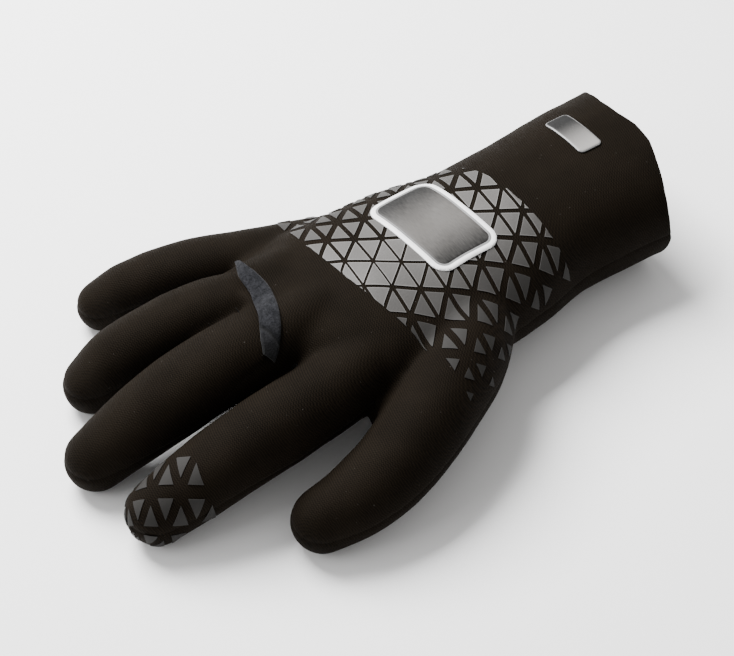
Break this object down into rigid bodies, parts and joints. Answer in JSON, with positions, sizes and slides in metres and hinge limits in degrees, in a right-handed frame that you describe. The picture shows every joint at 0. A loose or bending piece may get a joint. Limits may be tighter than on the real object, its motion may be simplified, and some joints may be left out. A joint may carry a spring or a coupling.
{
  "type": "diving glove",
  "caption": "Right-hand foam rubber diving glove lying on its palm, open at a slanted cuff, with separate finger sleeves, a taped knuckle seam and raised printed plates on its back.",
  "frame": {"origin": "middle of the glove's plan box, on the surface that it lies on", "axes": "+X from the fingertips to the cuff, -Y the thumb's side, +Z the back of the hand, up from the surface"},
  "size_m": [0.293, 0.1814, 0.0557],
  "materials": {
    "palm_fabric": "fine black knit on foam rubber, soft sheen",
    "back_fabric": "fine warm black knit on foam rubber, soft sheen",
    "seam_tape": "fuzzy blue-grey bonded tape",
    "emblem_print": "raised brushed grey print with a white edge",
    "raised_print": "raised satin grey print"
  },
  "bodies": {
    "root": {"palm_panel": "palm_fabric", "back_panel": "back_fabric", "finger_back_panel": "back_fabric", "knuckle_tape": "seam_tape", "back_emblem": "emblem_print", "cuff_badge": "raised_print"}
  },
  "joints": []
}
